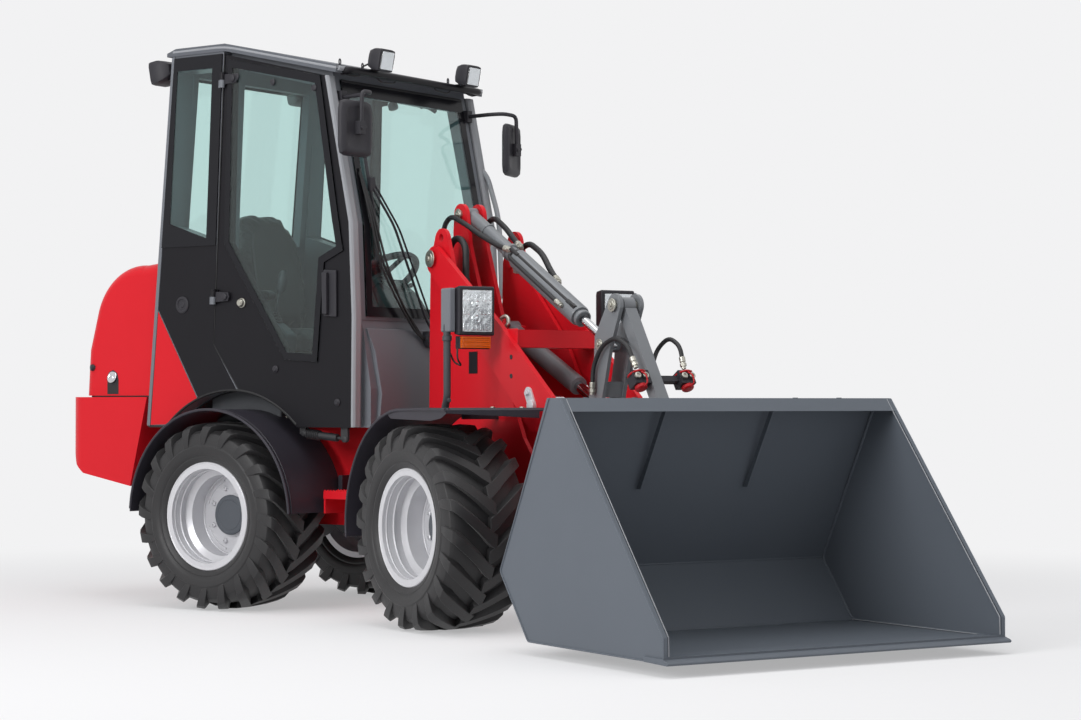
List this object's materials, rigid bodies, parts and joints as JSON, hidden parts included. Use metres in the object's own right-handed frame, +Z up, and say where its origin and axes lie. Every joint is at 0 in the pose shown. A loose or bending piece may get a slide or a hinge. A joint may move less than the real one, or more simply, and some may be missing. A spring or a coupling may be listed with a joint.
{
  "type": "compact wheel loader",
  "caption": "Articulated compact wheel loader with a glazed cab, engine hood, lift arms, tilt linkage and bucket.",
  "frame": {"origin": "centre of the bounding box on the ground", "axes": "+X forward along the rear frame, +Y left, +Z up"},
  "size_m": [4.1432, 2.1806, 2.235],
  "materials": {
    "body_red": "gloss",
    "slate_grey": "satin",
    "cab_grey": "satin",
    "door_black": "satin",
    "rim_silver": "satin",
    "tyre_rubber": "matte",
    "black_steel": "satin",
    "rod_chrome": "gloss",
    "black_plastic": "matte",
    "hose_rubber": "matte",
    "seat_cloth": "matte",
    "window_glass": "gloss"
  },
  "bodies": {
    "rear_body": {"rear_chassis": "body_red", "rear_axle": "black_steel", "engine": "black_steel", "counterweight": "body_red", "tow_hitch": "black_steel", "cab_frame": "cab_grey", "cab_floor": "body_red", "cab_roof": "cab_grey", "cab_glass": "window_glass", "seat_base": "black_plastic", "seat_cushion": "seat_cloth", "seat_back": "seat_cloth", "steering_column": "black_plastic", "rear_fenders": "black_steel", "entry_steps": "black_steel", "mirrors": "black_plastic", "work_lights": "black_plastic"},
    "front_body": {"front_frame": "body_red", "front_axle": "black_steel", "front_fenders": "black_steel", "headlights": "black_plastic", "tower_hose": "hose_rubber"},
    "rear_wheel_left": {"rear_tyre_left": "tyre_rubber", "rear_rim_left": "rim_silver"},
    "rear_wheel_right": {"rear_tyre_right": "tyre_rubber", "rear_rim_right": "rim_silver"},
    "front_wheel_left": {"front_tyre_left": "tyre_rubber", "front_rim_left": "rim_silver"},
    "front_wheel_right": {"front_tyre_right": "tyre_rubber", "front_rim_right": "rim_silver"},
    "door_left_body": {"door_left": "door_black", "door_glass_left": "window_glass"},
    "door_right_body": {"door_right": "door_black", "door_glass_right": "window_glass"},
    "hood_body": {"engine_hood": "body_red"},
    "boom_body": {"boom": "body_red"},
    "hitch_pin_body": {"hitch_pin": "rod_chrome"},
    "bucket_body": {"quick_hitch": "slate_grey", "bucket": "slate_grey"},
    "lever_pin_body": {"lever_pin": "rod_chrome"},
    "lever_body": {"tilt_lever": "slate_grey"},
    "link_pin_body": {"link_pin": "rod_chrome"},
    "link_body": {"tilt_link": "slate_grey", "couplers": "black_plastic"},
    "lift_barrel_body": {"lift_barrels": "slate_grey"},
    "lift_rod_body": {"lift_rods": "rod_chrome"},
    "tilt_base_pin_body": {"tilt_base_pin": "rod_chrome"},
    "tilt_barrel_body": {"tilt_barrel": "slate_grey", "tilt_hose": "hose_rubber"},
    "tilt_rod_body": {"tilt_rod": "rod_chrome"},
    "steering_barrel_body": {"steering_barrel": "black_steel"},
    "steering_rod_body": {"steering_rod": "rod_chrome"},
    "steering_wheel_body": {"steering_wheel": "black_plastic"}
  },
  "joints": [
    {"name": "steering", "type": "hinge", "parent": "rear_body", "child": "front_body", "pos_m": [-0.4216, 0.4648, 0.45], "axis": [0, 0, 1], "range_deg": [-22.3, 67.7]},
    {"name": "rear_wheel_left_spin", "type": "hinge", "parent": "rear_body", "child": "rear_wheel_left", "pos_m": [-1.1566, 0.9248, 0.368], "axis": [0, 1, 0], "continuous": true},
    {"name": "rear_wheel_right_spin", "type": "hinge", "parent": "rear_body", "child": "rear_wheel_right", "pos_m": [-1.1566, 0.0048, 0.368], "axis": [0, 1, 0], "continuous": true},
    {"name": "front_wheel_left_spin", "type": "hinge", "parent": "front_body", "child": "front_wheel_left", "pos_m": [0.43398, 0.60553, 0.368], "axis": [0.3859, 0.9225, 0], "continuous": true},
    {"name": "front_wheel_right_spin", "type": "hinge", "parent": "front_body", "child": "front_wheel_right", "pos_m": [0.07895, -0.24321, 0.368], "axis": [0.3859, 0.9225, 0], "continuous": true},
    {"name": "door_left_hinge", "type": "hinge", "parent": "rear_body", "child": "door_left_body", "pos_m": [-1.2136, 0.9448, 1.66], "axis": [0.0523, 0, 0.9986], "range_deg": [0, 105]},
    {"name": "door_right_hinge", "type": "hinge", "parent": "rear_body", "child": "door_right_body", "pos_m": [-1.2136, -0.0152, 1.66], "axis": [-0.0523, 0, -0.9986], "range_deg": [0, 105]},
    {"name": "hood_hinge", "type": "hinge", "parent": "rear_body", "child": "hood_body", "pos_m": [-1.5646, 0.4648, 1.3965], "axis": [0, 1, 0], "range_deg": [0, 60]},
    {"name": "boom_lift", "type": "hinge", "parent": "front_body", "child": "boom_body", "pos_m": [-0.23248, 0.38569, 1.361], "axis": [-0.3859, -0.9225, 0], "range_deg": [-1, 94]},
    {"name": "hitch_pin_turn", "type": "hinge", "parent": "boom_body", "child": "hitch_pin_body", "pos_m": [0.88379, -0.08126, 0.285], "axis": [-0.3859, -0.9225, 0], "range_deg": [-71.11, 0.81]},
    {"name": "bucket_tilt", "type": "hinge", "parent": "hitch_pin_body", "child": "bucket_body", "pos_m": [0.88379, -0.08126, 0.285], "axis": [-0.3859, -0.9225, 0], "range_deg": [-60, 40]},
    {"name": "lever_pin_turn", "type": "hinge", "parent": "boom_body", "child": "lever_pin_body", "pos_m": [0.58397, 0.04416, 0.74], "axis": [-0.3859, -0.9225, 0], "range_deg": [-58.54, 0.67]},
    {"name": "tilt_lever_turn", "type": "hinge", "parent": "lever_pin_body", "child": "lever_body", "pos_m": [0.58397, 0.04416, 0.74], "axis": [-0.3859, -0.9225, 0], "range_deg": [-53.09, 35.41]},
    {"name": "link_pin_turn", "type": "hinge", "parent": "lever_body", "child": "link_pin_body", "pos_m": [0.71312, -0.00986, 1.153], "axis": [-0.3859, -0.9225, 0], "range_deg": [-0.57, 49.3]},
    {"name": "tilt_link_turn", "type": "hinge", "parent": "link_pin_body", "child": "link_body", "pos_m": [0.71312, -0.00986, 1.153], "axis": [-0.3859, -0.9225, 0], "range_deg": [-30.65, 45.95]},
    {"name": "lift_cylinder_swing", "type": "hinge", "parent": "front_body", "child": "lift_barrel_body", "pos_m": [-0.14484, 0.34903, 1.09], "axis": [-0.3859, -0.9225, 0], "range_deg": [-1.04, 92.93]},
    {"name": "lift_cylinder_stroke", "type": "slide", "parent": "lift_barrel_body", "child": "lift_rod_body", "axis": [0.838, -0.3505, -0.4181], "range_m": [-0.00466, 0.4199]},
    {"name": "tilt_base_pin_turn", "type": "hinge", "parent": "front_body", "child": "tilt_base_pin_body", "pos_m": [-0.27861, 0.40498, 1.54], "axis": [-0.3859, -0.9225, 0], "range_deg": [-1.03, 92.16]},
    {"name": "tilt_cylinder_swing", "type": "hinge", "parent": "tilt_base_pin_body", "child": "tilt_barrel_body", "pos_m": [-0.27861, 0.40498, 1.54], "axis": [-0.3859, -0.9225, 0], "range_deg": [-2.96, 4.42]},
    {"name": "tilt_cylinder_stroke", "type": "slide", "parent": "tilt_barrel_body", "child": "tilt_rod_body", "axis": [0.8141, -0.3405, -0.4704], "range_m": [-0.16409, 0.24604]},
    {"name": "steering_cylinder_swing", "type": "hinge", "parent": "rear_body", "child": "steering_barrel_body", "pos_m": [-0.8516, 0.3148, 0.47], "axis": [0, 0, 1], "range_deg": [-2.48, 7.44]},
    {"name": "steering_cylinder_stroke", "type": "slide", "parent": "steering_barrel_body", "child": "steering_rod_body", "axis": [1, -0.0052, 0], "range_m": [-0.04987, 0.15099]},
    {"name": "steering_wheel_turn", "type": "hinge", "parent": "rear_body", "child": "steering_wheel_body", "pos_m": [-0.7866, 0.4648, 1.29], "axis": [-0.5736, 0, 0.8192], "range_deg": [-356.85, 1083.25]}
  ],
  "couplings": [
    {"joint": "hitch_pin_turn", "follows": "boom_lift", "ratio": -0.756},
    {"joint": "lever_pin_turn", "follows": "boom_lift", "ratio": -0.62219},
    {"joint": "tilt_lever_turn", "follows": "bucket_tilt", "ratio": 0.884},
    {"joint": "link_pin_turn", "follows": "boom_lift", "ratio": 0.52391},
    {"joint": "tilt_link_turn", "follows": "bucket_tilt", "ratio": -0.765},
    {"joint": "lift_cylinder_swing", "follows": "boom_lift", "ratio": 0.9881},
    {"joint": "lift_cylinder_stroke", "follows": "boom_lift", "m_per_rad": 0.25582},
    {"joint": "tilt_base_pin_turn", "follows": "boom_lift", "ratio": 0.9799},
    {"joint": "tilt_cylinder_swing", "follows": "bucket_tilt", "ratio": -0.0728},
    {"joint": "tilt_cylinder_stroke", "follows": "bucket_tilt", "m_per_rad": -0.23476},
    {"joint": "steering_cylinder_swing", "follows": "steering", "ratio": 0.1092},
    {"joint": "steering_cylinder_stroke", "follows": "steering", "m_per_rad": 0.12762},
    {"joint": "steering_wheel_turn", "follows": "steering", "ratio": 16}
  ]
}
